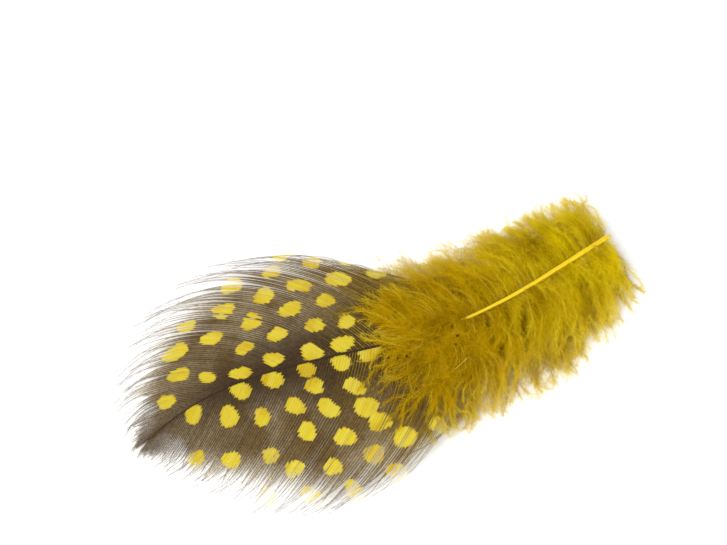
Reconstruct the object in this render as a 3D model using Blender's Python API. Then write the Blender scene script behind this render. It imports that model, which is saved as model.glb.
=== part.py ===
"""A guinea fowl feather lying on a flat surface, modelled as the one piece that it grew as.

The shaft carries two webs of barbs, the vane, over its outer half, and locks of down over its
inner half. Everything is fused into one solid. Metres, +Z up. +X runs from the quill to the
vane's tip, and the surface that the feather lies on is z = 0.
"""

import math

import bpy
import numpy as np

# Driving dimensions
SHAFT_LENGTH = 0.0775
QUILL_WIDTH = 0.00095
SHAFT_END_WIDTH = 0.00028
VANE_START = 0.025
FIRST_BARB = 0.0270
LAST_BARB = 0.0043
BARB_RISE = 0.0380
NEAR_SIDE = 1.0
FAR_SIDE = 0.92
LONGEST_DOWN = 0.0182
VANE_THICKNESS = 0.0005

# How the shaft runs: it sways to both sides and arches over the surface
SWAY = 0.0021
SWAY_GROWTH = 0.041
SWAY_WAVE = 0.088
VANE_TURN = 0.6
ARCH_HEIGHT = 0.0050
ARCH_CENTRE = 0.030
ARCH_HALF_SPAN = 0.051
LEAST_HEIGHT = 0.00045

# Where the middle of the whole feather lies, beside the quill's tip
ORIGIN_X = 0.040230
ORIGIN_Y = -0.002396

# The vane's sheet
VANE_LOCKS = 11
COLUMNS_PER_LOCK = 4
VANE_ROWS = 7
CAMBER_POWER = 1.8
NOTCH_DEPTH = 0.13

# The locks of down
DOWN_START = 0.0020
DOWN_END = 0.0350
DOWN_LOCKS = 12
LOCK_STATIONS = 7
ROOT_OVERLAP = 0.0006
LOCK_WIDTH = 0.0048
LOCK_THICKNESS = 0.0026
LOWER_ROOT_DROP = 0.0004
UPPER_LIFT = 0.0030
UPPER_LENGTH = 0.90
FLOOR_HEIGHT = 0.00025

# The shaft's tube
SHAFT_STATIONS = 26
SHAFT_SIDES = 8
QUILL_TIP = 0.0012

FEATHER_COLOUR = (0.42, 0.33, 0.05, 1.0)
FEATHER_ROUGHNESS = 0.85


def sway(s):
    """Sideways place of the shaft at station s: a sine wave that grows along it."""
    return (SWAY + SWAY_GROWTH * s) * np.sin(2 * math.pi * s / SWAY_WAVE)


def slope(s):
    """Sideways slope of the shaft at station s."""
    turn = 2 * math.pi / SWAY_WAVE
    return SWAY_GROWTH * np.sin(turn * s) + (SWAY + SWAY_GROWTH * s) * turn * np.cos(turn * s)


def arch(s):
    """Height of the shaft's centre at station s: a parabola that levels out near the surface."""
    rise = ARCH_HEIGHT * (1 - ((s - ARCH_CENTRE) / ARCH_HALF_SPAN) ** 2)
    return np.maximum(rise, LEAST_HEIGHT)


def place(s, n, z):
    """Points at station s along the shaft, n beside it and z above the surface.

    The barbs turn with the shaft by the share VANE_TURN, so the vane isn't pinched where it bends.
    """
    turn = VANE_TURN * slope(s)
    square = 1 / np.sqrt(1 + turn**2)
    return np.stack([s - n * turn * square - ORIGIN_X, sway(s) + n * square - ORIGIN_Y, z], axis=-1)


def barb_path(root, length, first_angle, last_angle, count, kept=1.0):
    """Station and side of points along one barb, whose angle to the shaft eases from first to last.

    kept is the share of the barb that is there, so a shorter barb follows its neighbours' curve.
    """
    angle = np.radians(first_angle + (last_angle - first_angle) * np.linspace(0, kept, count))
    step = length * kept / (count - 1)
    along = np.cos(angle)
    across = np.sin(angle)
    s = root + step * np.concatenate([[0], np.cumsum((along[1:] + along[:-1]) / 2)])
    n = step * np.concatenate([[0], np.cumsum((across[1:] + across[:-1]) / 2)])
    return s, n


def vane_barb(share, count):
    """One barb of the vane: station, side and height. share runs from 0 at the down to 1 at the end.

    The barbs' length swells over the first third and then falls towards the shaft's end.
    """
    root = VANE_START + (SHAFT_LENGTH - VANE_START) * share
    length = LAST_BARB + BARB_RISE * (1 - share**1.8) ** 1.2
    length -= (LAST_BARB + BARB_RISE - FIRST_BARB) * (1 - share) ** 4
    in_lock = (share * VANE_LOCKS) % 1
    kept = 1 - NOTCH_DEPTH * (2 * abs(in_lock - 0.5)) ** 2
    first_angle = 72 - 44 * share**2
    last_angle = 28 - 30 * share + 20 * share**2
    s, n = barb_path(root, length, first_angle, last_angle, count, kept)
    fall = 1 - np.linspace(0, kept, count) ** CAMBER_POWER
    return s, n, arch(s) * fall


def down_barb(share, length, count):
    """One barb of the down. share runs from 0 at the quill to 1 at the vane."""
    root = DOWN_START + (DOWN_END - DOWN_START) * share
    first = 105 - 33 * share**0.7
    length *= 0.42 + 0.58 * share**0.4
    return barb_path(root, length, first, first - 25 - 6 * share, count)


def solid(name, points, faces):
    """A mesh object in the scene from points and faces."""
    mesh = bpy.data.meshes.new(name)
    mesh.from_pydata([tuple(p) for p in points], [], faces)
    mesh.update()
    obj = bpy.data.objects.new(name, mesh)
    bpy.context.scene.collection.objects.link(obj)
    return obj


def ring_faces(rings, sides):
    """Side faces of a lofted tube with this many rings, each of this many points."""
    faces = []
    for i in range(rings - 1):
        for j in range(sides):
            k = (j + 1) % sides
            faces.append((i * sides + j, i * sides + k, (i + 1) * sides + k, (i + 1) * sides + j))
    return faces


def make_vane(name):
    """Both webs as one thin sheet, highest along the shaft and down to the surface at its edges."""
    count = VANE_ROWS + 1
    top = []
    for share in np.linspace(0, 1, VANE_LOCKS * COLUMNS_PER_LOCK + 1):
        s, n, z = vane_barb(share, count)
        z = z + VANE_THICKNESS * 0.4
        left = place(s[::-1], -n[::-1] * FAR_SIDE, z[::-1])
        right = place(s[1:], n[1:] * NEAR_SIDE, z[1:])
        top.append(np.concatenate([left, right]))
    top = np.array(top)
    columns, rows = top.shape[:2]
    bottom = top - np.array([0, 0, VANE_THICKNESS])
    under = columns * rows
    faces = []
    for i in range(columns - 1):
        for j in range(rows - 1):
            a, b = i * rows + j, (i + 1) * rows + j
            faces.append((a, b, b + 1, a + 1))
            faces.append((under + a + 1, under + b + 1, under + b, under + a))
        first, last = i * rows, i * rows + rows - 1
        faces.append((first, under + first, under + first + rows, first + rows))
        faces.append((last + rows, under + last + rows, under + last, last))
    for j in range(rows - 1):
        end = (columns - 1) * rows + j
        faces.append((j + 1, under + j + 1, under + j, j))
        faces.append((end, under + end, under + end + 1, end + 1))
    return solid(name, np.concatenate([top.reshape(-1, 3), bottom.reshape(-1, 3)]), faces)


def make_lock(name, s, n, z, width, thickness):
    """A tapered lock along points in station, side and height, with a ridge above and below."""
    middle = place(s, n, z)
    ahead = np.gradient(middle, axis=0)
    across = np.cross(ahead, [0, 0, 1])
    across /= np.linalg.norm(across, axis=1)[:, None]
    points = []
    for centre, side, wide, thick in zip(middle[:-1], across, width, thickness):
        up = np.array([0, 0, thick / 2])
        points += [centre + side * wide / 2, centre + up, centre - side * wide / 2, centre - up]
    points.append(middle[-1])
    rings = len(middle) - 1
    faces = ring_faces(rings, 4)
    tip, last = rings * 4, (rings - 1) * 4
    faces += [(last + j, last + (j + 1) % 4, tip) for j in range(4)]
    faces.append((3, 2, 1, 0))
    return solid(name, points, [face[::-1] for face in faces])


def lock_taper(t):
    """Share of the full width along a lock: narrow at the shaft, full in the middle, then pointed."""
    return 0.35 + 0.65 * np.sin(math.pi * np.clip(t, 0, 1) ** 0.8) ** 0.8 - 0.25 * t**3


def make_down_lock(name, share, side, upper):
    """One lock of down, either lying on the surface or raised over the locks below it."""
    t = np.linspace(0, 1, LOCK_STATIONS)
    length = LONGEST_DOWN * (UPPER_LENGTH if upper else 1)
    s, n = down_barb(share, length, LOCK_STATIONS)
    n = n - ROOT_OVERLAP * (1 - t)
    root_height = arch(s[0])
    if upper:
        z = root_height * (1 - (0.40 + 0.25 * share) * t**1.5)
        z += UPPER_LIFT * np.sin(math.pi * t**0.8) * (0.7 - 0.2 * share)
    else:
        z = FLOOR_HEIGHT + (root_height - LOWER_ROOT_DROP - FLOOR_HEIGHT) * (1 - t) ** 2.4
    width = LOCK_WIDTH * lock_taper(t) * (0.8 + 0.2 * share)
    thickness = LOCK_THICKNESS * (1 - 0.55 * t) * (0.28 + 0.72 * np.sin(math.pi * t))
    return make_lock(name, s, n * side, z, width, thickness)


def make_shaft(name):
    """The shaft as one tapered tube, rounded off at the quill and blunt at its far end."""
    s = np.linspace(0, 1, SHAFT_STATIONS) ** 1.15 * SHAFT_LENGTH
    middle = place(s, 0 * s, arch(s))
    ahead = np.gradient(middle, axis=0)
    across = np.cross([0, 0, 1], ahead)
    across /= np.linalg.norm(across, axis=1)[:, None]
    wide = SHAFT_END_WIDTH + (QUILL_WIDTH - SHAFT_END_WIDTH) * (1 - s / SHAFT_LENGTH) ** 0.9
    wide *= np.minimum(1, 0.45 + 0.55 * np.sqrt(s / QUILL_TIP))
    points = []
    for centre, side, width in zip(middle, across, wide):
        for j in range(SHAFT_SIDES):
            angle = 2 * math.pi * j / SHAFT_SIDES
            up = np.array([0, 0, math.sin(angle)])
            points.append(centre + (side * math.cos(angle) + up) * width / 2)
    faces = ring_faces(SHAFT_STATIONS, SHAFT_SIDES)
    faces.append(tuple(range(SHAFT_SIDES))[::-1])
    end = (SHAFT_STATIONS - 1) * SHAFT_SIDES
    faces.append(tuple(end + j for j in range(SHAFT_SIDES)))
    return solid(name, points, faces)


def make_floor_cutter(name):
    """A block under z = 0, which presses the underside of the down flat."""
    half = 0.15
    square = ((-half, -half), (half, -half), (half, half), (-half, half))
    corners = [(x, y, z) for z in (-half, 0) for x, y in square]
    faces = [(3, 2, 1, 0), (4, 5, 6, 7)]
    faces += [(j, (j + 1) % 4, (j + 1) % 4 + 4, j + 4) for j in range(4)]
    return solid(name, corners, faces)


def helper(obj):
    """Marks an object as a helper that isn't a part."""
    obj.hide_render = True
    obj.display_type = "WIRE"
    return obj


def plumage_material():
    """Dyed plumage: golden yellow, matt."""
    material = bpy.data.materials.new("plumage")
    material.use_nodes = True
    shader = material.node_tree.nodes["Principled BSDF"]
    shader.inputs["Base Color"].default_value = FEATHER_COLOUR
    shader.inputs["Roughness"].default_value = FEATHER_ROUGHNESS
    shader.inputs["Metallic"].default_value = 0.0
    return material


def main():
    for obj in list(bpy.data.objects):
        bpy.data.objects.remove(obj, do_unlink=True)

    feather = make_vane("feather")
    grown = bpy.data.collections.new("grown_together")
    bpy.context.scene.collection.children.link(grown)
    pieces = [make_shaft("shaft")]
    for upper in (False, True):
        for k in range(DOWN_LOCKS):
            share = (k + 0.5 * upper) / (DOWN_LOCKS - 0.5)
            for side in (-1, 1):
                name = f"lock_{'upper' if upper else 'lower'}_{k}_{'left' if side < 0 else 'right'}"
                pieces.append(make_down_lock(name, share, side, upper))
    for piece in pieces:
        bpy.context.scene.collection.objects.unlink(piece)
        grown.objects.link(helper(piece))

    join = feather.modifiers.new("join", "BOOLEAN")
    join.operation = "UNION"
    join.operand_type = "COLLECTION"
    join.collection = grown
    join.solver = "EXACT"

    flatten = feather.modifiers.new("flatten", "BOOLEAN")
    flatten.operation = "DIFFERENCE"
    flatten.object = helper(make_floor_cutter("floor"))
    flatten.solver = "EXACT"

    feather.data.materials.append(plumage_material())


main()
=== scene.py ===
import bpy
import numpy as np
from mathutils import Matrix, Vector


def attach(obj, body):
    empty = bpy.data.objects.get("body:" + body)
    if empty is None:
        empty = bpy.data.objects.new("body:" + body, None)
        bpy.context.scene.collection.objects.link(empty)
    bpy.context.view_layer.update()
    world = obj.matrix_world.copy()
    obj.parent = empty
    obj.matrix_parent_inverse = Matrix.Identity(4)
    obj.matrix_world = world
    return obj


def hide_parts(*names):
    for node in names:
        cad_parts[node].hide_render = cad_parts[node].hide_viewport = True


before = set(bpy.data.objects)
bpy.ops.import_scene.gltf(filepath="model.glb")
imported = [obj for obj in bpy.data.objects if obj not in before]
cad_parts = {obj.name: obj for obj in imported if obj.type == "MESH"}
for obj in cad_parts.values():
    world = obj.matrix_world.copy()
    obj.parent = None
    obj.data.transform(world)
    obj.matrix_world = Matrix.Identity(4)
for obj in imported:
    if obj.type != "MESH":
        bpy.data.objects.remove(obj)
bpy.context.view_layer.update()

mm = 0.001
# the feather as a whole; stations run along the shaft from the quill's tip
feather = {
    "shaftLength": 77.5 * mm,
    "sway": 2.1 * mm,
    "swayGrowth": 0.041,
    "swayWave": 88 * mm,
    "vaneTurn": 0.6,  # share of the shaft's turn that the barbs follow
    "archHeight": 5.0 * mm,
    "archCentre": 30 * mm,
    "archHalfSpan": 51 * mm,
    "leastHeight": 0.45 * mm,
    "nearSide": 1.0,  # widths of the two webs, against each other
    "farSide": 0.92,
    "middle": (40.230 * mm, -2.396 * mm),  # of the whole feather, from the quill's tip
    "highest": 6.55 * mm,  # the down is pressed flatter above this
    "pressedRoom": 0.45 * mm,  # and stands over it by less than this
    "lowest": 0.03 * mm,
    "seed": 7,
}


def swayAt(s):
    # a sine wave that grows along the shaft: (sway + growth s) sin(2 pi s / wave)
    return (feather["sway"] + feather["swayGrowth"] * s) * np.sin(2 * np.pi * s / feather["swayWave"])


def swaySlope(s):
    # the derivative of swayAt
    turn = 2 * np.pi / feather["swayWave"]
    wide = feather["sway"] + feather["swayGrowth"] * s
    return feather["swayGrowth"] * np.sin(turn * s) + wide * turn * np.cos(turn * s)


def archAt(s):
    # height of the shaft: a parabola over the surface, never under leastHeight
    rise = feather["archHeight"] * (1 - ((s - feather["archCentre"]) / feather["archHalfSpan"]) ** 2)
    return np.maximum(rise, feather["leastHeight"])


def place(s, n, z):
    # point = curve(s) + n * sideways direction, which turns with the curve by vaneTurn, at height z
    turn = feather["vaneTurn"] * swaySlope(s)
    square = 1 / np.sqrt(1 + turn**2)
    x = s - n * turn * square - feather["middle"][0]
    y = swayAt(s) + n * square - feather["middle"][1]
    return np.stack([x, y, z], axis=-1)


def softTop(z):
    # heights over highest are squeezed, highest + room * (1 - exp(-(z - highest) / room)), and none is
    # under lowest
    top, room = feather["highest"], feather["pressedRoom"]
    z = np.where(z > top, top + room * (1 - np.exp(-np.maximum(z - top, 0) / room)), z)
    return np.maximum(z, feather["lowest"])


def ease(t, start, end):
    # 0 at start, 1 at end, 3u^2 - 2u^3 between them, and level past both
    u = np.clip((t - start) / (end - start), 0, 1)
    return u * u * (3 - 2 * u)


def bell(x, width):
    # falls off from 1 in the middle as exp(-(x / width)^2)
    return np.exp(-((x / width) ** 2))


def unit(v):
    # v divided by its length
    return v / np.maximum(np.linalg.norm(v, axis=-1, keepdims=True), 1e-12)


def runAlong(root, length, angle):
    # strand paths: station and side are the running sums of cos(angle) and sin(angle) times the step
    step = length / (angle.shape[1] - 1)
    zero = np.zeros((len(angle), 1))

    def runningSum(values):
        # each step counts with the mean of its two ends
        return np.concatenate([zero, np.cumsum((values[:, 1:] + values[:, :-1]) / 2, axis=1)], axis=1)

    return root + step * runningSum(np.cos(angle)), step * runningSum(np.sin(angle))


def directions(path):
    # unit vectors ahead along each path, level to its right, and up from it
    ahead = unit(np.gradient(path, axis=1))
    sideways = unit(np.cross(ahead, [0, 0, 1.0]))
    return ahead, sideways, np.cross(sideways, ahead)


def ringRound(sideways, up, turn, flat=1.0):
    # from a path to the points of its section: sideways cos(turn) + up sin(turn) flat
    return sideways[:, :, None] * np.cos(turn)[:, None] + up[:, :, None] * np.sin(turn)[:, None] * flat


def lockOf(count, sizes, luck):
    # neighbouring strands gathered in locks of a chance size: the lock's middle strand, and its number
    edges = np.concatenate([[0], np.cumsum(luck.integers(sizes[0], sizes[1], count))])
    lock = np.searchsorted(edges, np.arange(count), side="right") - 1
    low, high = edges[lock], np.minimum(edges[lock + 1], count)
    return (low + high - 1) / 2, lock


def between(values, at):
    # straight-line values of rows of samples at fractional places along each row
    low = at.astype(int)
    part = at - low
    row = np.arange(len(values))[:, None]
    if values.ndim == 3:
        part = part[..., None]
    return values[row, low] * (1 - part) + values[row, low + 1] * part


def spreadAlong(luck, many, path, axes, fields):
    # many places on each path, a chance one in each of its equal parts: where they are, counted in
    # rows, their points and directions, and their fields
    count, rows = path.shape[:2]
    at = (np.arange(many)[None, :] + luck.random((count, many))) / many * (rows - 1.001)
    there = [between(values, at) for values in (path, *axes)]
    whole = {name: np.broadcast_to(value[..., 0], (count, rows)) for name, value in fields.items()}
    return at, there, {name: between(value, at)[..., None] for name, value in whole.items()}


# a bundle holds the points, faces, fields and map places of many strands; bundles are joined to a mesh
noQuads = np.zeros((0, 4), int)
noTris = np.zeros((0, 3), int)


def repeatFaces(strands, pointsEach, faces):
    # the faces of one strand, again for every strand, with their point numbers moved on
    return (np.arange(strands)[:, None, None] * pointsEach + faces).reshape(-1, faces.shape[1])


def gridFaces(strands, rows, columns):
    # quads of a grid of rows x columns points for each strand
    i, j = np.meshgrid(np.arange(rows - 1), np.arange(columns - 1), indexing="ij")
    a = (i * columns + j).ravel()
    return repeatFaces(strands, rows * columns, np.stack([a, a + columns, a + columns + 1, a + 1], axis=1))


def tubeFaces(strands, rings, sides):
    # quads round each tube, ring by ring, with its last side joined to its first
    i, j = np.meshgrid(np.arange(rings - 1), np.arange(sides), indexing="ij")
    a = (i * sides + j).ravel()
    b = (i * sides + (j + 1) % sides).ravel()
    return repeatFaces(strands, rings * sides, np.stack([a, b, b + sides, a + sides], axis=1))


def tubeCaps(strands, rings, sides):
    # fans over the first and the last ring of each tube
    j = np.arange(1, sides - 1)
    first = np.stack([0 * j, j + 1, j], axis=1)
    last = (rings - 1) * sides + np.stack([0 * j, j, j + 1], axis=1)
    return repeatFaces(strands, rings * sides, np.concatenate([first, last]))


def ribbonFaces(strands, rows):
    # a ribbon of rows pairs of points and one point at its tip
    a = 2 * np.arange(rows - 1)
    quads = np.stack([a, a + 1, a + 3, a + 2], axis=1)
    tip = np.array([[2 * rows - 2, 2 * rows - 1, 2 * rows]])
    return repeatFaces(strands, 2 * rows + 1, quads), repeatFaces(strands, 2 * rows + 1, tip)


def bundle(points, quads, tris, fields, places):
    # fields and map places are spread to all points where they are given once for many
    size = points.shape[:-1]
    return {
        "points": points.reshape(-1, 3),
        "quads": quads,
        "tris": tris,
        "fields": {name: np.broadcast_to(value, size).ravel() for name, value in fields.items()},
        "map": np.stack([np.broadcast_to(where, size).ravel() for where in places], axis=1),
    }


def makePiece(name, bundles, material):
    # joins bundles into one mesh at the origin, with its fields and its map
    counts = [len(b["points"]) for b in bundles]
    offsets = np.concatenate([[0], np.cumsum(counts)[:-1]])
    points = np.concatenate([b["points"] for b in bundles])
    quads = np.concatenate([b["quads"] + o for b, o in zip(bundles, offsets)])
    tris = np.concatenate([b["tris"] + o for b, o in zip(bundles, offsets)])
    loops = np.concatenate([quads.ravel(), tris.ravel()]).astype(np.int32)
    starts = np.concatenate([np.arange(len(quads)) * 4, len(quads) * 4 + np.arange(len(tris)) * 3])
    mesh = bpy.data.meshes.new(name)
    mesh.vertices.add(len(points))
    mesh.vertices.foreach_set("co", points.astype(np.float32).ravel())
    mesh.loops.add(len(loops))
    mesh.loops.foreach_set("vertex_index", loops)
    mesh.polygons.add(len(starts))
    mesh.polygons.foreach_set("loop_start", starts.astype(np.int32))
    mesh.polygons.foreach_set("use_smooth", np.ones(len(starts), dtype=bool))
    mesh.update(calc_edges=True)
    for field in bundles[0]["fields"]:
        values = np.concatenate([b["fields"][field] for b in bundles]).astype(np.float32)
        mesh.attributes.new(field, "FLOAT", "POINT").data.foreach_set("value", values)
    places = np.concatenate([b["map"] for b in bundles]).astype(np.float32)
    mesh.uv_layers.new(name="OFBake").data.foreach_set("uv", places[loops].ravel())
    mesh.materials.append(material)
    piece = bpy.data.objects.new(name, mesh)
    bpy.context.scene.collection.objects.link(piece)
    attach(piece, "root")
    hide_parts("feather")
    low, high = points.min(axis=0) / mm, points.max(axis=0) / mm
    print(name, len(quads) * 2 + len(tris), "triangles, from", low.round(1), "to", high.round(1), "mm")


def linear(red, green, blue):
    # screen colour 0-255 to linear light
    c = np.array([red, green, blue]) / 255
    c = np.where(c <= 0.04045, c / 12.92, ((c + 0.055) / 1.055) ** 2.4)
    return (float(c[0]), float(c[1]), float(c[2]), 1.0)


class Nodes:
    # short ways to add and join nodes in one material
    def __init__(self, name):
        self.material = bpy.data.materials.new(name)
        self.material.use_nodes = True
        self.tree = self.material.node_tree
        self.shader = self.tree.nodes["Principled BSDF"]
        self.output = self.tree.nodes["Material Output"]

    def join(self, source, target):
        self.tree.links.new(source, target)

    def feed(self, socket, value):
        # a number or a colour is set on the socket itself, and another node's output is joined to it
        if isinstance(value, (int, float, tuple)):
            socket.default_value = value
        else:
            self.join(value, socket)

    def field(self, name):
        node = self.tree.nodes.new("ShaderNodeAttribute")
        node.attribute_name = name
        return node.outputs["Fac"]

    def times(self, a, b):
        node = self.tree.nodes.new("ShaderNodeMath")
        node.operation = "MULTIPLY"
        self.feed(node.inputs[0], a)
        self.feed(node.inputs[1], b)
        return node.outputs[0]

    def ramp(self, value, low, high, least=0.0, most=1.0):
        # least to most as the value runs from low to high, eased at both ends
        node = self.tree.nodes.new("ShaderNodeMapRange")
        node.interpolation_type = "SMOOTHSTEP"
        node.inputs["From Min"].default_value = low
        node.inputs["From Max"].default_value = high
        node.inputs["To Min"].default_value = least
        node.inputs["To Max"].default_value = most
        self.join(value, node.inputs["Value"])
        return node.outputs["Result"]

    def blend(self, share, a, b, kind="MIX"):
        node = self.tree.nodes.new("ShaderNodeMix")
        node.data_type = "RGBA"
        node.blend_type = kind
        self.feed(node.inputs[0], share)
        self.feed(node.inputs[6], a)
        self.feed(node.inputs[7], b)
        return node.outputs[2]

    def lay(self, under, over, value, low, high, least=0.0, most=1.0):
        # one colour laid over another by a ramp of the value
        return self.blend(self.ramp(value, low, high, least, most), under, over)

    def noise(self, size, detail, stretch=(1, 1, 1)):
        # cloudy noise on Object coordinates, about size across
        coordinates = self.tree.nodes.new("ShaderNodeTexCoord")
        mapping = self.tree.nodes.new("ShaderNodeMapping")
        mapping.inputs["Scale"].default_value = stretch
        node = self.tree.nodes.new("ShaderNodeTexNoise")
        node.inputs["Scale"].default_value = 1 / size
        node.inputs["Detail"].default_value = detail
        self.join(coordinates.outputs["Object"], mapping.inputs["Vector"])
        self.join(mapping.outputs["Vector"], node.inputs["Vector"])
        return node.outputs["Fac"]

    def finish(self, colour, look):
        # look's through is the share of light that passes the thin blades
        self.join(colour, self.shader.inputs["Base Color"])
        self.shader.inputs["Roughness"].default_value = look["roughness"]
        self.shader.inputs["Specular IOR Level"].default_value = look["shine"]
        if look["through"]:
            thin = self.tree.nodes.new("ShaderNodeBsdfTranslucent")
            mix = self.tree.nodes.new("ShaderNodeMixShader")
            mix.inputs[0].default_value = look["through"]
            self.join(colour, thin.inputs["Color"])
            self.join(self.shader.outputs[0], mix.inputs[1])
            self.join(thin.outputs[0], mix.inputs[2])
            self.join(mix.outputs[0], self.output.inputs["Surface"])
        return self.material


# the shaft: a waxy yellow quill that turns brown-black inside the vane
shaftLook = {
    "quillWidth": 0.95 * mm,
    "endWidth": 0.24 * mm,
    "taper": 2.2,
    "roundEnd": 1.1 * mm,  # the quill's tip widens over this length
    "pastEnd": 0.6 * mm,  # how far it runs past shaftLength
    "lift": 0.15 * mm,  # of its middle over the arch
    "groove": 0.22,  # depth below, and of the flat above, as shares of the radius
    "flat": 0.10,
    "dip": 0.12 * mm,  # how deep it sinks into the down
    "dipAt": 31 * mm,
    "dipLength": 5 * mm,
    "rings": 150,
    "sides": 16,
    "mapLength": 90 * mm,
    "grainSize": 0.7 * mm,
    "yellow": linear(246, 216, 8),
    "grain": linear(242, 208, 30),
    # painted highlight on the quill's two upper flanks
    "edge": linear(255, 236, 60),
    "middle": linear(230, 192, 24),
    "gold": linear(196, 160, 22),
    "dark": linear(48, 31, 15),
    "roughness": 0.42,
    "through": 0.10,
    "shine": 0.20,
}


def makeShaftMaterial():
    # streaky yellow with a duller line along its top between two painted highlights on its upper flanks,
    # then gold and then dark
    nodes = Nodes("waxyQuill")
    station, top = nodes.field("station"), nodes.field("top")
    grain = nodes.noise(shaftLook["grainSize"], 3, (0.12, 1, 1))
    colour = nodes.lay(shaftLook["yellow"], shaftLook["grain"], grain, 0.35, 0.7)
    # painted highlight: where top is 0.55 to 0.80, on both upper flanks, the quill is laid over with the
    # light edge colour
    colour = nodes.lay(colour, shaftLook["edge"], top, 0.55, 0.80, 0, 0.75)
    colour = nodes.lay(colour, shaftLook["middle"], top, 0.80, 0.98, 0, 0.85)
    colour = nodes.lay(colour, shaftLook["gold"], station, 0.28, 0.44)
    colour = nodes.lay(colour, shaftLook["dark"], station, 0.40, 0.54)
    return nodes.finish(colour, shaftLook)


def makeShaft(material):
    # a tube along the shaft's curve, width = end + (quill - end) (1 - t)^taper, drawn in at both tips.
    # Its section is a circle less a groove below and a flat above, which are bells of the turn, and
    # it sinks into the down by a bell of the station
    t = np.linspace(0, 1, shaftLook["rings"])
    s = t**1.05 * (feather["shaftLength"] + shaftLook["pastEnd"])
    wide = (shaftLook["quillWidth"] - shaftLook["endWidth"]) * (1 - t) ** shaftLook["taper"]
    wide = shaftLook["endWidth"] + wide
    wide = wide * np.minimum(1, 0.35 + 0.65 * np.sqrt(s / shaftLook["roundEnd"]))
    wide = wide * (1 - 0.75 * ease(t, 0.97, 1))
    turn = 2 * np.pi * np.arange(shaftLook["sides"]) / shaftLook["sides"]
    section = 1 - shaftLook["groove"] * bell(turn - 1.5 * np.pi, 0.5)
    section = section - shaftLook["flat"] * bell(turn - 0.5 * np.pi, 0.6)
    across = np.cos(turn)[None, :] * wide[:, None] / 2
    upward = (np.sin(turn) * section)[None, :] * wide[:, None] / 2
    station = np.repeat(s[:, None], len(turn), axis=1)
    dip = shaftLook["dip"] * bell(station - shaftLook["dipAt"], shaftLook["dipLength"])
    points = place(station, across, archAt(station) + upward + shaftLook["lift"] - dip)[None]
    fields = {"station": station[None] / feather["shaftLength"], "top": np.sin(turn)[None, None, :]}
    quads = tubeFaces(1, len(s), len(turn))[:, ::-1]
    tris = tubeCaps(1, len(s), len(turn))[:, ::-1]
    around = turn[None, None, :] / (2 * np.pi)
    places = (station[None] / shaftLook["mapLength"] + 0.02, around * 0.9 + 0.05)
    makePiece("shaft", [bundle(points, quads, tris, fields, places)], material)


# the spotted vane
vaneLook = {
    "start": 25 * mm,
    "firstBarb": 24 * mm,
    "lastBarb": 4.3 * mm,
    "barbRise": 38 * mm,
    "tipSweep": 15,  # degrees that the free ends turn towards the shaft's end
    "barbs": 118,
    "rows": 56,
    "barbWidth": 0.105 * mm,
    "lockBarbs": (3, 9),
    "drawTogether": 0.33,
    "lockSwing": 0.45 * mm,  # how far the ends of locks and of single barbs go astray
    "barbSwing": 0.95 * mm,
    "outMost": 0.6 * mm,  # but outwards no further than this
    "lockLift": 0.25 * mm,  # how far they rise and sink
    "barbLift": 0.20 * mm,
    "webEnd": 0.77,  # share of a barb where its web has opened
    "webReach": 0.54,  # of the step to the next barb
    "barbules": 240,
    "barbuleLength": 0.36 * mm,
    "barbuleWidth": 0.040 * mm,
    "barbuleLean": (40, 10),  # degrees from the barb, and their spread
    "camber": 1.8,
    "overArch": 0.16 * mm,
    "lowest": 0.09 * mm,
    "lowestBarbule": 0.04 * mm,
    "mapLength": 92 * mm,
    "mapWidth": 30 * mm,
    "patchSize": 6 * mm,
    "grainSize": 0.4 * mm,
    "barb": linear(84, 63, 34),
    "deep": linear(60, 42, 18),
    "web": linear(116, 92, 50),
    "pale": linear(156, 139, 108),
    "thin": linear(230, 220, 200),
    "bare": linear(120, 108, 102),
    "tips": linear(190, 184, 190),
    "dyed": linear(98, 68, 10),
    "dyedLine": linear(186, 160, 34),
    "downy": linear(172, 130, 4),
    "roughness": 0.62,
    "through": 0.30,
    "shine": 0.25,
}

# the spots: station and side of each in mm, mean radius and its spread, how far out of round
spotLook = {
    "near": [
        (42.6, 0.9), (47.3, 1.1), (52.3, 1.5), (57.5, 1.5), (62.4, 0.9), (70.4, 1.1), (46.5, 5.5),
        (51.9, 3.9), (55.8, 6.4), (61.0, 6.6), (65.9, 4.6), (51.0, 8.4), (45.9, 9.4), (44.7, 12.3),
        (55.2, 11.2), (50.2, 13.2), (62.5, 12.7), (68.8, 10.6), (73.7, 7.0), (42.1, 15.2),
        (47.3, 16.7), (53.4, 17.3), (59.8, 15.9), (37.5, 14.6), (58.6, 20.7), (66.3, 18.2),
        (51.5, 21.4), (44.6, 20.4), (32.0, 15.8), (34.5, 20.0),
    ],
    "far": [
        (46.0, -1.8), (50.6, -1.8), (55.9, -2.1), (61.3, -1.6), (66.0, -3.3), (72.9, -3.4),
        (44.2, -5.9), (48.7, -6.6), (54.0, -6.6), (59.4, -5.8), (69.0, -6.6), (46.0, -10.6),
        (51.2, -10.9), (56.7, -10.4), (62.6, -9.8), (67.6, -10.4), (42.6, -14.6), (48.6, -15.2),
        (54.1, -14.8), (59.7, -14.2), (64.6, -14.0), (39.8, -18.2), (45.4, -19.3), (51.4, -19.2),
        (57.0, -18.6), (36.2, -14.4), (32.8, -18.6), (49.4, -22.8),
    ],
    "radius": (1.46 * mm, 0.13 * mm),
    "oval": 0.13,
    "lumpy": 0.06,
    "scatter": 0.16 * mm,
    "teeth": 0.07 * mm,  # how far neighbouring barbs are slid against each other
    "darkBarbs": 0.012,  # share of the barbs that keep a dark line through the spots
    "pale": linear(238, 226, 112),
    "lemon": linear(226, 207, 48),
    "deep": linear(212, 180, 18),
    "orange": linear(196, 140, 14),
}


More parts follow.
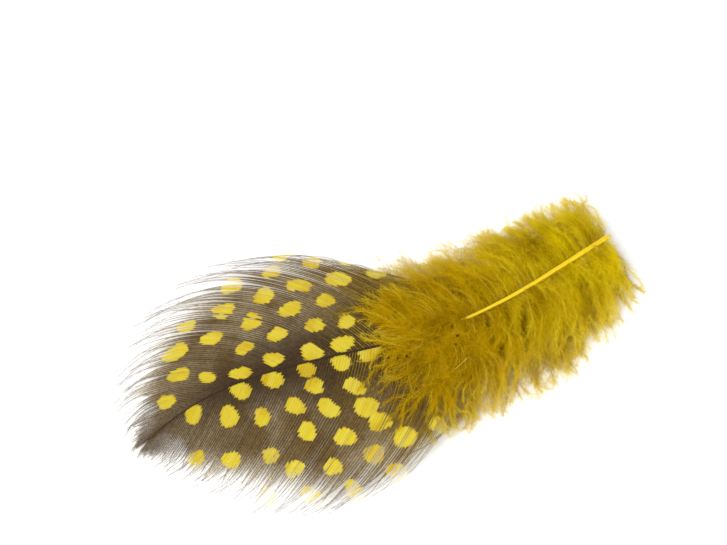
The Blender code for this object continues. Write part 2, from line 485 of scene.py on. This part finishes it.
def makeVaneMaterial():
    # the web's browns and the lines of the barbs, both dyed near the down, and the spots over them
    nodes = Nodes("spottedVane")
    patch = nodes.noise(vaneLook["patchSize"], 3)
    fine = nodes.noise(vaneLook["grainSize"], 2)
    tone, reach, station = nodes.field("tone"), nodes.field("reach"), nodes.field("station")

    # the web: dark by the shaft, pale and then thin towards its edge and the vane's end
    web = nodes.lay(vaneLook["web"], vaneLook["pale"], patch, 0.40, 0.66)
    inner = nodes.times(nodes.ramp(reach, 0.42, 0.04, 0, 0.95), nodes.ramp(station, 0.98, 0.84, 0.25, 1.0))
    web = nodes.blend(inner, web, vaneLook["deep"])
    web = nodes.lay(web, vaneLook["pale"], reach, 0.55, 0.88, 0, 0.9)
    web = nodes.lay(web, vaneLook["pale"], station, 0.80, 0.99, 0, 0.8)
    web = nodes.lay(web, vaneLook["deep"], tone, 0.4, 1.0, 0, 0.35)
    thin = nodes.times(nodes.ramp(reach, 0.56, 0.84, 0, 0.9), nodes.ramp(station, 0.60, 0.85, 0.35, 1.0))
    web = nodes.blend(thin, web, vaneLook["thin"])
    web = nodes.lay(web, vaneLook["dyed"], station, 0.66, 0.48, 0, 0.8)

    # the barbs: greyer where the web has opened, palest at their tips
    line = nodes.lay(vaneLook["barb"], vaneLook["bare"], nodes.field("open"), 0.2, 0.9)
    line = nodes.lay(line, vaneLook["tips"], reach, 0.66, 0.90, 0, 0.95)
    dyed = nodes.times(nodes.ramp(station, 0.68, 0.50), nodes.ramp(tone, 0.15, 0.75, 0.15, 1.0))
    line = nodes.blend(dyed, line, vaneLook["dyedLine"])

    dark = nodes.lay(line, web, nodes.field("across"), 0.0, 0.55)
    dark = nodes.lay(dark, vaneLook["downy"], station, 0.44, 0.37, 0, 0.9)
    dark = nodes.blend(1.0, dark, nodes.ramp(fine, 0.3, 0.7, 0.78, 1.22), "MULTIPLY")

    # the spots: their distance in mm gives the edge, orange just inside it
    spot = nodes.times(nodes.field("spot"), 1 / mm)
    yellow = nodes.lay(spotLook["lemon"], spotLook["deep"], patch, 0.48, 0.70)
    yellow = nodes.lay(yellow, spotLook["orange"], spot, -0.30, 0.0, 0, 0.30)
    yellow = nodes.lay(yellow, spotLook["pale"], tone, 0.0, 1.0, 0, 0.25)
    yellow = nodes.lay(yellow, spotLook["pale"], reach, 0.70, 0.95, 0, 0.8)
    return nodes.finish(nodes.lay(dark, yellow, spot, 0.05, -0.05), vaneLook)


def vaneBarbPath(share):
    # the angle to the shaft falls from 72 - 44 share^2 - 18 share^12 degrees at the root to
    # 28 - 50 share + 30 share^2 at the tip, less tipSweep;
    # length = last + rise (1 - share^1.8)^1.2 - (last + rise - first) (1 - share)^9
    t = np.linspace(0, 1, vaneLook["rows"])[None, :]
    first = 72 - 44 * share**2 - 18 * share**12
    last = 28 - 50 * share + 30 * share**2
    longest = vaneLook["lastBarb"] + vaneLook["barbRise"]
    length = vaneLook["lastBarb"] + vaneLook["barbRise"] * (1 - share**1.8) ** 1.2
    length = length - (longest - vaneLook["firstBarb"]) * (1 - share) ** 9
    root = vaneLook["start"] + (feather["shaftLength"] - vaneLook["start"]) * share
    angle = first[:, None] + (last - first)[:, None] * t - vaneLook["tipSweep"] * ease(t, 0.62, 1.0)
    return runAlong(root[:, None], length[:, None], np.radians(angle))


def spotDistance(s, n, angle, side, luck):
    # distance to the edge of the nearest spot, less than 0 inside it. A spot's radius is
    # r (1 + oval cos(2 (turn - a)) + lumpy cos(3 (turn - b))), and its edge is toothed, because each
    # barb is slid along itself by a chance length
    shift = luck.normal(0, spotLook["teeth"], (len(s), 1))
    spots = np.array(spotLook["near" if side > 0 else "far"]) * mm
    spots = spots + luck.normal(0, spotLook["scatter"], spots.shape)
    centreS, centreN = spots[:, 0], np.abs(spots[:, 1])
    radius = luck.normal(*spotLook["radius"], len(spots))
    oval = spotLook["oval"] * luck.uniform(0.2, 1.5, len(spots))
    tilt, bump = luck.normal(-0.2, 0.7, len(spots)), luck.uniform(0, 2.1, len(spots))
    flatS = (s + shift * np.cos(angle)).ravel()[:, None] - centreS
    flatN = (n + shift * np.sin(angle)).ravel()[:, None] - centreN
    turn = np.arctan2(flatN, flatS)
    edge = radius * (1 + oval * np.cos(2 * (turn - tilt)) + spotLook["lumpy"] * np.cos(3 * (turn - bump)))
    distance = (np.hypot(flatS, flatN) - edge).min(axis=1).reshape(s.shape)
    return distance + 0.8 * mm * (luck.random((len(s), 1)) < spotLook["darkBarbs"])


def gatherBarbs(share, luck):
    # stations and sides of a web's barbs, first in order and then as they lie. Near the edge each is
    # drawn towards the middle of its lock, p + (middle's p - p) draw, so gaps open between locks. Each
    # lock swings a little as a whole, each free end goes its own way, those next to the down most
    count = len(share)
    t = np.linspace(0, 1, vaneLook["rows"])[None, :]
    idealS, idealN = vaneBarbPath(share)
    middle, lock = lockOf(count, vaneLook["lockBarbs"], luck)
    locks = lock.max() + 1
    lockS, lockN = vaneBarbPath((middle + 0.5) / count)
    draw = vaneLook["drawTogether"] * ease(t, 0.58, 1.05) * luck.uniform(0.3, 1.2, locks)[lock][:, None]
    stray = 1 + 1.3 * ease(share, 0.16, 0.0)[:, None]
    swing = luck.normal(0, vaneLook["lockSwing"], locks)[lock][:, None] * ease(t, 0.5, 1.1)
    ownWay = luck.normal(0, vaneLook["barbSwing"], (count, 1)) * ease(t, 0.60, 1.05) ** 1.5 * stray
    strayed = np.maximum(swing + ownWay, -vaneLook["outMost"])
    s = idealS + (lockS - idealS) * draw + strayed * 0.6
    n = idealN + (lockN - idealN) * draw - strayed
    return (idealS, idealN, s, n), lock


def layBarbs(side, luck):
    # one web's barbs, of unequal length, most of all at the vane's end: their paths, fields and places
    # on the map. Height = arch (1 - along^camber) + overArch, with a chance lift towards the edge
    count = vaneLook["barbs"]
    share = (np.arange(count) + 0.5) / count
    samples, lock = gatherBarbs(share, luck)
    locks = lock.max() + 1
    t = np.linspace(0, 1, vaneLook["rows"])
    kept = 1 - (0.13 + 0.25 * ease(share, 0.80, 1.0)[:, None]) * luck.random((count, 1)) ** 1.5
    along = t * kept
    cut = [np.stack([np.interp(k, t, row) for k, row in zip(along, values)]) for values in samples]
    idealS, idealN, s, n = cut
    height = archAt(s) * (1 - along ** vaneLook["camber"]) + vaneLook["overArch"]
    height = height + luck.normal(0, 0.05 * mm, (count, 1)) * ease(along, 0.2, 0.8)
    lockLift = luck.normal(0, vaneLook["lockLift"], locks)[lock][:, None]
    lift = lockLift + luck.normal(0, vaneLook["barbLift"], (count, 1))
    height = np.maximum(height + lift * ease(along, 0.4, 1), vaneLook["lowest"])
    path = place(s, n * (feather["nearSide"] if side > 0 else -feather["farSide"]), height)
    angle = np.arctan2(np.gradient(idealN, axis=1), np.gradient(idealS, axis=1))
    spot = spotDistance(idealS, idealN, angle, side, luck)
    tone = luck.random((count, 1))

    # the web opens near webEnd, and sooner at both ends of the vane
    ownEnd = 1 + luck.normal(0, 0.04, (count, 1)) + luck.normal(0, 0.08, locks)[lock][:, None]
    openAt = vaneLook["webEnd"] * ownEnd - 0.42 * ease(share, 0.12, 0.0)[:, None]
    openAt = openAt - 0.45 * ease(share, 0.72, 1.0)[:, None]
    opened = ease(along, openAt - 0.13, openAt + 0.10)
    return {
        "path": path,
        "axes": directions(path),
        "along": along,
        "angle": angle,
        "opened": opened,
        "mapS": idealS / vaneLook["mapLength"],
        "mapN": idealN / vaneLook["mapWidth"] + 0.02,
        "fields": {
            "spot": spot[..., None],
            "tone": tone[..., None],
            "reach": along[..., None],
            "open": opened[..., None],
            "station": (idealS / feather["shaftLength"])[..., None],
        },
    }


def vaneTubes(barbs):
    # the barbs themselves: a diamond carried along each path, width = barbWidth (1.2 - 0.95 along^0.8)
    path, angle = barbs["path"], barbs["angle"][..., None]
    count, rows = path.shape[:2]
    _, sideways, up = barbs["axes"]
    width = vaneLook["barbWidth"] * (1.2 - 0.95 * barbs["along"] ** 0.8)
    turn = np.pi / 2 * np.arange(4)
    ring = ringRound(sideways, up, turn, 0.9)
    tube = path[:, :, None] + ring * width[:, :, None, None] / 2 + up[:, :, None] * 0.03 * mm
    flat = np.cos(turn) * width[..., None] / 2
    places = (
        barbs["mapS"][..., None] + flat * np.sin(angle) / vaneLook["mapLength"],
        barbs["mapN"][..., None] - flat * np.cos(angle) / vaneLook["mapWidth"],
    )
    fields = {**barbs["fields"], "across": 0.0}
    return bundle(tube, tubeFaces(count, rows, 4), tubeCaps(count, rows, 4), fields, places)


def vaneWebs(barbs):
    # a strip along each barb, webReach of the step to the next barb wide on each side. It narrows to a
    # twentieth of that where the web has opened, and its edges hang a little
    path, up = barbs["path"], barbs["axes"][2]
    count, rows = path.shape[:2]
    step = np.gradient(path, axis=0)
    reachOut = np.linalg.norm(step, axis=-1, keepdims=True)
    pitch = (feather["shaftLength"] - vaneLook["start"]) / count
    step = step / np.maximum(reachOut, 1e-9) * np.minimum(reachOut, 1.15 * pitch)
    closed = 1 - 0.95 * barbs["opened"]
    half = step * (vaneLook["webReach"] * closed)[..., None]
    web = np.stack([path - half - up * 0.02 * mm, path, path + half - up * 0.05 * mm], axis=2)
    halfMap = 0.5 * np.maximum(closed, 0.12)
    places = []
    for where in (barbs["mapS"], barbs["mapN"]):
        aside = np.gradient(where, axis=0) * halfMap
        places.append(np.stack([where - aside, where, where + aside], axis=2))
    fields = {**barbs["fields"], "across": np.array([1.0, 0.25, 1.0])}
    return bundle(web, gridFaces(count, rows, 3), noTris, fields, places)


def vaneBarbules(barbs, side, luck):
    # slim triangles on both sides of each barb: tip = root + size * unit(forward cos(lean)
    # + outward sin(lean) + a little up)
    count, many = vaneLook["barbs"], vaneLook["barbules"]
    at, there, near = spreadAlong(luck, many, barbs["path"], barbs["axes"], barbs["fields"])
    root, forward, out, above = there
    angle, mapS, mapN = (between(barbs[name], at) for name in ("angle", "mapS", "mapN"))
    wide = vaneLook["barbuleWidth"] / 2
    base = forward * wide
    baseS = wide * np.cos(angle) / vaneLook["mapLength"]
    baseN = wide * np.sin(angle) / vaneLook["mapWidth"]
    longest = vaneLook["barbuleLength"] * (1 - 0.8 * ease(between(barbs["along"], at), 0.62, 0.95))
    tris = np.arange(count * many * 3).reshape(-1, 3)
    fields = {**near, "across": np.array([0.1, 0.1, 0.8])}
    found = []
    for way in (-1, 1):
        size = longest * luck.uniform(0.6, 1.2, (count, many))
        lean = np.radians(luck.normal(*vaneLook["barbuleLean"], (count, many)))[..., None]
        rise = luck.normal(0.05, 0.12, (count, many, 1))
        head = unit(forward * np.cos(lean) + out * np.sin(lean) * way + above * rise)
        tip = root + head * size[..., None]
        tip[..., 2] = np.maximum(tip[..., 2], vaneLook["lowestBarbule"])
        mapAngle = angle - lean[..., 0] * way * side
        tipS = mapS + size * np.cos(mapAngle) / vaneLook["mapLength"]
        tipN = mapN + size * np.sin(mapAngle) / vaneLook["mapWidth"]
        points = np.stack([root - base, root + base, tip], axis=2)
        places = (
            np.stack([mapS - baseS, mapS + baseS, tipS], axis=2),
            np.stack([mapN - baseN, mapN + baseN, tipN], axis=2),
        )
        found.append(bundle(points, noQuads, tris, fields, places))
    return found


def makeVane(side, material):
    # one web of the vane: its barbs, the webs between them and their barbules
    luck = np.random.default_rng(feather["seed"] + 40 + side)
    barbs = layBarbs(side, luck)
    name = "vane_left" if side > 0 else "vane_right"
    makePiece(name, [vaneTubes(barbs), vaneWebs(barbs), *vaneBarbules(barbs, side, luck)], material)


# the down: limp barbs with long fine barbules all round, which curl together in locks
downLook = {
    "start": 1.0 * mm,
    "end": 37.5 * mm,
    "longestBarb": 18.6 * mm,
    "barbs": 236,  # in each of the four layers
    "rows": 16,
    "barbWidth": 0.075 * mm,
    "lockBarbs": (4, 12),
    "rootAngle": (105, 33),  # degrees to the shaft by the quill, and how much less by the vane
    "bend": (27, 14),  # degrees that a barb bends forward by the quill, and how much more by the vane
    "lockCurl": (26, 16),  # likewise, the waves of each lock
    "barbCurl": 20,  # and those of each barb
    # for the lower and for the upper barbs: how they crowd towards the vane, their length, the share
    # of much shorter ones, and their level between the surface and the top
    "crowding": (1.0, 0.82),
    "lengthScale": (1.0, 0.92),
    "shortBarbs": (0.25, 0.45),
    "level": (0.22, 0.88),
    "swell": 2.6 * mm,
    "wave": 0.5 * mm,
    "barbules": 82,
    "barbuleParts": 2,
    "barbuleLength": 2.0 * mm,
    "barbuleWidth": 0.043 * mm,
    "barbuleLean": 46,  # degrees from the barb
    "mapShare": 0.985,  # of the map; the rest is for small things
    "patchSize": 5 * mm,
    "streak": linear(246, 228, 84),
    "broken": linear(255, 238, 110),
    "crumb": linear(58, 40, 8),
    "pale": linear(232, 212, 30),
    "lemon": linear(236, 216, 12),
    "gold": linear(212, 176, 1),
    "amber": linear(160, 116, 2),
    "roughness": 0.85,
    "through": 0.45,
    "shine": 0.04,
}

# the tufts of down that curl over the shaft and over the vane's first barbs
tuftLook = {
    "start": 26.2 * mm,
    "run": 10.3 * mm,  # stretch of the shaft over which their roots stand
    "barbs": 256,
    "lockBarbs": (4, 11),
    "across": 14.5 * mm,  # how far apart their roots stand
    "nearSide": 6 * mm,  # and how much further on the near side
    "aside": 1.2 * mm,
    "turnOut": 2.2,  # degrees for each mm beside the shaft
    "lockCurl": 40,
    "barbCurl": 22,
    "length": (5 * mm, 11 * mm),
    "rise": (0.5 * mm, 1.5 * mm),
    "barbuleShare": 0.85,
    "barbuleLean": 34,
}

# small things that lie on the down: stations, sides and heights in mm, and the crumbs' radius
smallLook = {
    "brokenBarb": ((30.0, 6.6, 5.90), (32.4, 7.7, 5.82)),  # its two ends
    "brokenRadius": 0.08 * mm,
    "brokenRows": 6,
    "crumbs": (
        (29.9, 2.8, 6.20, 0.38),
        (30.7, 4.0, 6.15, 0.24),
        (28.7, 5.5, 6.10, 0.24),
        (37.9, 3.3, 5.85, 0.28),
    ),
}
threeSides = 2 * np.pi / 3 * np.arange(3) + np.pi / 2  # the corners of a slim tube, the first one up


def makeDownMaterial():
    # lemon that turns gold towards the vane, amber in patches, amber as painted shade on the barbs that
    # lie deep down, pale in streaks and at the barbs' ends, with painted highlights along some barbs. The
    # field loose is 1 on the crumbs,
    # -1 on the broken barb and 0 elsewhere
    nodes = Nodes("softDown")
    patch = nodes.noise(downLook["patchSize"], 3)
    tone, fringe, loose = nodes.field("tone"), nodes.field("fringe"), nodes.field("loose")
    colour = nodes.lay(downLook["lemon"], downLook["gold"], nodes.field("station"), 0.08, 0.42)
    colour = nodes.lay(colour, downLook["amber"], patch, 0.42, 0.70, 0, 0.45)
    # painted shade: the lower a barb lies in the down (the smaller its depth), the more amber is laid over
    # it
    colour = nodes.lay(colour, downLook["amber"], nodes.field("depth"), 0.5, 0.0, 0, 0.55)
    colour = nodes.lay(colour, downLook["pale"], tone, 0.62, 1.0, 0, 0.45)
    colour = nodes.lay(colour, downLook["amber"], tone, 0.40, 0.0, 0, 0.40)
    colour = nodes.lay(colour, downLook["streak"], nodes.field("reach"), 0.60, 1.0, 0, 0.60)
    colour = nodes.lay(colour, downLook["pale"], fringe, 0.3, 1.0, 0, 0.15)
    # painted highlights: barbs with a high tone are laid over with the pale streak colour where fringe is
    # 0, on their tubes and at their barbules' roots
    streak = nodes.times(nodes.ramp(fringe, 0.10, 0.0), nodes.ramp(tone, 0.35, 0.75, 0, 0.85))
    colour = nodes.blend(streak, colour, downLook["streak"])
    colour = nodes.lay(colour, downLook["crumb"], loose, 0.2, 0.8)
    colour = nodes.lay(colour, downLook["broken"], loose, -0.2, -0.8)
    return nodes.finish(colour, downLook)


def downTubes(path, axes, fields, mapRow):
    # the barbs as slim three-sided tubes along their paths, width = barbWidth (1.2 - 0.9 t)
    count, rows = path.shape[:2]
    _, sideways, up = axes
    t = np.linspace(0, 1, rows)[None, :]
    width = downLook["barbWidth"] * (1.2 - 0.9 * t)
    tube = path[:, :, None] + ringRound(sideways, up, threeSides) * (width / 2)[:, :, None, None]
    tube[..., 2] = np.maximum(tube[..., 2], 0.01 * mm)
    places = (t[..., None] * 0.98 + 0.01, mapRow[..., None] + np.array([0.0, -0.06, 0.06]) / count)
    fields = {**fields, "fringe": 0.0}
    return bundle(tube, tubeFaces(count, rows, 3), tubeCaps(count, rows, 3), fields, places)


def downBarbules(luck, path, axes, fields, mapRow, longest, leanMost):
    # ribbons on both sides of each barb, which leave it at about leanMost degrees and droop:
    # root + (head v + (droop - head) v^2 / 2) size. They are fullest along the middle of the barb
    count, rows = path.shape[:2]
    many, parts = downLook["barbules"], downLook["barbuleParts"]
    at, there, near = spreadAlong(luck, many, path, axes, fields)
    root, forward, out, above = there
    quads, tris = ribbonFaces(count * many, parts)
    along = at / (rows - 1)
    full = 0.56 + 0.44 * np.sin(np.pi * np.clip(along * 0.85 + 0.12, 0, 1))
    steps = np.linspace(0, 1, parts + 1)
    fringe = np.append(np.repeat(steps[:parts], 2), 1.0)
    mapU = along[..., None] * 0.98 + 0.01 + np.append(np.tile([-0.5, 0.5], parts), 0.0) * 0.8 / many
    found = []
    for way in (-1, 1):
        size = longest * full * luck.uniform(0.5, 1.15, (count, many))
        size = size * (0.55 + 0.45 * ease(along, 0.0, 0.08))
        lean = np.radians(luck.normal(leanMost, 13, (count, many)) * (1.1 - 0.12 * along))[..., None]
        roll = np.radians(luck.normal(0, 40, (count, many)))[..., None]
        outward = out * np.cos(roll) * way + above * np.sin(roll)
        head = unit(forward * np.cos(lean) + outward * np.sin(lean))
        droop = unit(forward * 0.9 + luck.normal(0, 0.5, (count, many, 3)))
        spine = [root + (head * v + (droop - head) * 0.5 * v * v) * size[..., None] for v in steps]
        blade = unit(np.cross(head, luck.normal(0, 1, (count, many, 3)) + above * 1.5))
        blade = blade * downLook["barbuleWidth"] / 2
        points = []
        for v, middle in zip(steps[:parts], spine):
            thin = 1 - 0.45 * v
            points += [middle - blade * thin, middle + blade * thin]
        points = np.stack(points + [spine[parts]], axis=2)
        points[..., 2] = softTop(points[..., 2])
        mapV = mapRow[..., None] + way * (0.08 + 0.40 * fringe) / count
        found.append(bundle(points, quads, tris, {**near, "fringe": fringe}, (mapU, mapV)))
    return found


def dressDown(luck, path, fields, longest, leanMost):
    # barbs and their barbules; each barb has its own row of the map
    count, axes = len(path), directions(path)
    mapRow = downLook["mapShare"] * (np.arange(count)[:, None] + 0.5) / count
    barbules = downBarbules(luck, path, axes, fields, mapRow, longest, leanMost)
    return [downTubes(path, axes, fields, mapRow), *barbules]


def downHeights(s, t, root, upper, share):
    # the lower layer falls to the surface with (1 - t)^2.4, the upper one swells over it and then
    # sinks; upper runs from 0 to 1 between them
    rootHeight = archAt(root)
    low = 0.35 * mm + (rootHeight - 0.75 * mm) * (1 - t) ** 2.4
    high = rootHeight * (1 - (0.40 + 0.25 * share) * t**1.5)
    high = high + downLook["swell"] * np.sin(np.pi * t**0.8) * (0.7 - 0.2 * share)
    return low + (high - low) * upper


def curl(luck, t, count, lock, lockTurn, ownTurn):
    # sideways waves in degrees, one shared by each lock and one of each barb's own:
    # turn * sin(2 pi (f t + chance)) * t^0.7
    locks = lock.max() + 1
    shared = luck.uniform(0.5, 1.3, locks)[lock][:, None] * t + luck.random(locks)[lock][:, None]
    size = lockTurn * luck.uniform(0.2, 1.4, locks)[lock][:, None]
    own = luck.uniform(0.8, 2.2, (count, 1)) * t + luck.random((count, 1))
    return (size * np.sin(2 * np.pi * shared) + ownTurn * np.sin(2 * np.pi * own)) * t**0.7


def chanceTone(luck, count, lock):
    # 0.4 of a barb's tone is its own and 0.6 is its lock's
    return luck.random((count, 1)) * 0.4 + 0.6 * luck.random(lock.max() + 1)[lock][:, None]


def makeDown(side, upper, material):
    # barbs leave the shaft at rootAngle's a - b share^0.7 degrees, turn forward by bend's a + b share
    # and wave as in curl; length = longest (0.42 + 0.58 share^0.4), less for the short ones
    luck = np.random.default_rng(feather["seed"] + 60 + side + 7 * upper)
    count, rows = downLook["barbs"], downLook["rows"]
    share = np.clip((np.arange(count) + luck.random(count)) / count, 0, 1) ** downLook["crowding"][upper]
    middle, lock = lockOf(count, downLook["lockBarbs"], luck)
    locks = lock.max() + 1
    lockShare = np.interp(middle, np.arange(count), share)[:, None]
    share = share[:, None]
    t = np.linspace(0, 1, rows)[None, :]
    turned = share + (lockShare - share) * 0.6
    first = downLook["rootAngle"][0] - downLook["rootAngle"][1] * turned**0.7
    first = first + luck.normal(0, 9, locks)[lock][:, None] + luck.normal(0, 6, (count, 1))
    bend = downLook["bend"][0] + downLook["bend"][1] * turned
    bend = bend + luck.normal(0, 16, locks)[lock][:, None] + luck.normal(0, 9, (count, 1))
    drawIn = (share - lockShare) * 70 * ease(t, 0.1, 0.9)
    lockCurl = downLook["lockCurl"][0] + downLook["lockCurl"][1] * share
    waves = curl(luck, t, count, lock, lockCurl, downLook["barbCurl"])
    angle = np.radians(first - bend * t + drawIn + waves)
    few = downLook["shortBarbs"][upper] * (1 - 0.6 * share)
    short = (luck.random((count, 1)) < few) * luck.uniform(0.15, 0.5, (count, 1))
    length = downLook["longestBarb"] * (0.42 + 0.58 * share**0.4)
    length = length * (luck.uniform(0.86, 1.0, (count, 1)) - short)
    length = length * downLook["lengthScale"][upper]
    root = downLook["start"] + (downLook["end"] - downLook["start"]) * share
    s, n = runAlong(root, length, angle)
    level = np.clip(luck.normal(downLook["level"][upper], 0.2, (count, 1)), 0, 1.15)
    height = downHeights(s, t, root, level, share)
    wave = t * luck.uniform(0.7, 1.9, (count, 1)) + luck.random((count, 1))
    height = height + downLook["wave"] * np.sin(2 * np.pi * wave) * t
    height = height - 0.12 * mm * (1 - ease(t, 0.0, 0.12))
    path = place(s, np.abs(n) * side, softTop(height))
    fields = {
        "tone": chanceTone(luck, count, lock)[..., None],
        # how high the barb lies in the down; the material paints shade on the low ones
        "depth": level[..., None],
        "reach": t[..., None],
        "station": (s / feather["shaftLength"])[..., None],
    }
    name = "down_" + ("upper" if upper else "lower") + ("_left" if side > 0 else "_right")
    found = dressDown(luck, path, fields, downLook["barbuleLength"], downLook["barbuleLean"])
    makePiece(name, found, material)


def makeBrokenBarb(fields):
    # a straight slim tube that lies on the down: start + (end - start) v
    start, end = np.array(smallLook["brokenBarb"]) * mm
    rows = smallLook["brokenRows"]
    v = np.linspace(0, 1, rows)[:, None]
    line = start + (end - start) * v
    path = place(line[:, 0], line[:, 1], line[:, 2])
    across = np.cross(unit(path[-1] - path[0]), [0, 0, 1.0])
    ring = across * np.cos(threeSides)[:, None] + np.array([0, 0, 1.0]) * np.sin(threeSides)[:, None]
    tube = path[:, None] + ring[None] * smallLook["brokenRadius"] * (1.1 - 0.5 * v[..., None])
    values = {**dict.fromkeys(fields, 0.5), "fringe": 0.5, "loose": -1.0}
    places = (0.1 + 0.8 * v[None], 0.991 + 0.001 * np.arange(3)[None, None, :])
    return bundle(tube[None], tubeFaces(1, rows, 3), tubeCaps(1, rows, 3), values, places)


def makeCrumbs(luck, fields):
    # lopsided octahedra: each of six points stands 0.3 to 1 times the radius from the middle
    crumbs = np.array(smallLook["crumbs"]) * mm
    count = len(crumbs)
    middle = place(crumbs[:, 0], crumbs[:, 1], crumbs[:, 2])
    six = np.array([[1, 0, 0], [0, 1, 0], [-1, 0, 0], [0, -1, 0], [0, 0, 1], [0, 0, -1]])
    points = middle[:, None] + six * luck.uniform(0.3, 1.0, (count, 6, 1)) * crumbs[:, None, 3:]
    fan = np.array([[j, (j + 1) % 4, 4] for j in range(4)] + [[(j + 1) % 4, j, 5] for j in range(4)])
    values = {**dict.fromkeys(fields, 0.5), "fringe": 0.5, "loose": 1.0}
    mapU = 0.02 + 0.004 * six[None, :, 0] + 0.01 * np.arange(count)[:, None]
    places = (mapU, 0.997 + 0.002 * six[None, :, 1])
    return bundle(points, noQuads, repeatFaces(count, 6, fan), values, places)


def makeLooseDown(material):
    # tufts whose roots are spread evenly, because over steps by the golden section in -0.5 to 0.5.
    # side = across * over * (0.4 + 0.6 ahead) + nearSide * over * ahead on the near side + aside;
    # height = arch - 0.2 mm + rise * sin(pi (0.85 t + 0.08)) - 2 mm (side / 16 mm)^2
    luck = np.random.default_rng(feather["seed"] + 90)
    count, rows = tuftLook["barbs"], downLook["rows"]
    t = np.linspace(0, 1, rows)[None, :]
    _, lock = lockOf(count, tuftLook["lockBarbs"], luck)
    locks = lock.max() + 1
    ahead = (np.arange(locks) + luck.random(locks)) / locks
    root = (tuftLook["start"] + tuftLook["run"] * ahead)[lock][:, None]
    root = root + luck.normal(0, 0.7 * mm, (count, 1))
    over = np.arange(locks) * 0.618 % 1 - 0.5
    side0 = tuftLook["across"] * over * (0.4 + 0.6 * ahead)
    side0 = side0 + tuftLook["nearSide"] * np.maximum(over, 0) * ahead + tuftLook["aside"]
    ways = (luck.normal(0, 30, locks) + tuftLook["turnOut"] * side0 / mm)[lock][:, None]
    ways = ways + luck.normal(0, 12, (count, 1))
    side0 = side0[lock][:, None] + luck.normal(0, 0.4 * mm, (count, 1))
    waves = curl(luck, t, count, lock, tuftLook["lockCurl"], tuftLook["barbCurl"])
    angle = np.radians(ways + waves + luck.normal(0, 30, locks)[lock][:, None] * t)
    length = luck.uniform(*tuftLook["length"], locks)[lock][:, None] * luck.uniform(0.6, 1.1, (count, 1))
    s, n = runAlong(root, length, angle)
    n = n + side0
    rise = luck.uniform(*tuftLook["rise"], (count, 1))
    height = archAt(s) - 0.2 * mm + rise * np.sin(np.pi * np.clip(t * 0.85 + 0.08, 0, 1))
    height = height - 2 * mm * (n / (16 * mm)) ** 2
    path = place(s, n, softTop(height))
    fields = {
        "tone": chanceTone(luck, count, lock)[..., None],
        "depth": np.full((count, 1, 1), 0.8),
        "reach": t[..., None],
        "station": (s / feather["shaftLength"])[..., None],
        "loose": np.zeros((count, 1, 1)),
    }
    small = [makeBrokenBarb(fields), makeCrumbs(luck, fields)]
    longest = downLook["barbuleLength"] * tuftLook["barbuleShare"]
    tufts = dressDown(luck, path, fields, longest, tuftLook["barbuleLean"])
    makePiece("down_loose", tufts + small, material)


# the stage: a pale floor, an even sky, one large soft lamp and the camera
stageLook = {
    "floor": linear(250, 250, 250),
    "floorPatch": linear(238, 238, 240),
    "patchSize": 60 * mm,
    "roughness": 0.9,
    "through": 0.0,
    "shine": 0.2,
    "floorSize": 1.6,
    "skyStrength": 0.82,
    "keyPower": 3.4,
    "keyPlace": (0.32, 0.12, 0.55),
    "keySize": 0.40,
    "lookAt": (-3.730 * mm, -9.954 * mm, 3.3 * mm),
    "towards": (0.2375, 0.44, 0.866),  # from the feather to the camera
    "distance": 0.62,
    "fieldWidth": 111.2 * mm,
    "sensorWidth": 36,
}


def aim(obj, target):
    # turns an object's -Z towards the target and keeps its Y up
    ahead = Vector(target) - obj.location
    obj.rotation_euler = ahead.to_track_quat("-Z", "Y").to_euler()


def makeFloor():
    # one square, floorSize to each side of the middle
    mesh = bpy.data.meshes.new("floor")
    half = stageLook["floorSize"]
    corners = [(-half, -half, 0), (half, -half, 0), (half, half, 0), (-half, half, 0)]
    mesh.from_pydata(corners, [], [(0, 1, 2, 3)])
    floor = bpy.data.objects.new("floor", mesh)
    bpy.context.scene.collection.objects.link(floor)
    nodes = Nodes("paleFloor")
    grain = nodes.noise(stageLook["patchSize"], 2)
    colour = nodes.lay(stageLook["floor"], stageLook["floorPatch"], grain, 0.3, 0.7, 0, 0.06)
    mesh.materials.append(nodes.finish(colour, stageLook))


def makeLight():
    # an even white sky and one square lamp turned to the feather
    world = bpy.data.worlds.new("studio")
    bpy.context.scene.world = world
    world.use_nodes = True
    sky = world.node_tree.nodes["Background"]
    sky.inputs["Color"].default_value = (1.0, 1.0, 1.0, 1.0)
    sky.inputs["Strength"].default_value = stageLook["skyStrength"]

    lamp = bpy.data.lights.new("key", "AREA")
    lamp.energy = stageLook["keyPower"]
    lamp.size = stageLook["keySize"]
    key = bpy.data.objects.new("key", lamp)
    key.location = stageLook["keyPlace"]
    aim(key, (0, 0, 0))
    bpy.context.scene.collection.objects.link(key)


def makeCamera():
    # the lens = sensor * distance / field, so the field's width at lookAt fills the picture
    lens = bpy.data.cameras.new("camera")
    camera = bpy.data.objects.new("camera", lens)
    towards = unit(np.array(stageLook["towards"]))
    camera.location = np.array(stageLook["lookAt"]) + towards * stageLook["distance"]
    lens.sensor_width = stageLook["sensorWidth"]
    lens.lens = stageLook["sensorWidth"] * stageLook["distance"] / stageLook["fieldWidth"]
    lens.clip_start = 0.01
    lens.clip_end = 20
    lens.dof.use_dof = False
    aim(camera, stageLook["lookAt"])
    bpy.context.scene.collection.objects.link(camera)
    bpy.context.scene.camera = camera


print("materials")
shaftMaterial = makeShaftMaterial()
vaneMaterial = makeVaneMaterial()
downMaterial = makeDownMaterial()
print("shaft")
makeShaft(shaftMaterial)
print("vane")
for side in (1, -1):
    makeVane(side, vaneMaterial)
print("down")
for side in (1, -1):
    for upper in (0, 1):
        makeDown(side, upper, downMaterial)
makeLooseDown(downMaterial)
print("stage")
makeFloor()
makeLight()
makeCamera()
bpy.context.scene.view_settings.view_transform = "Standard"
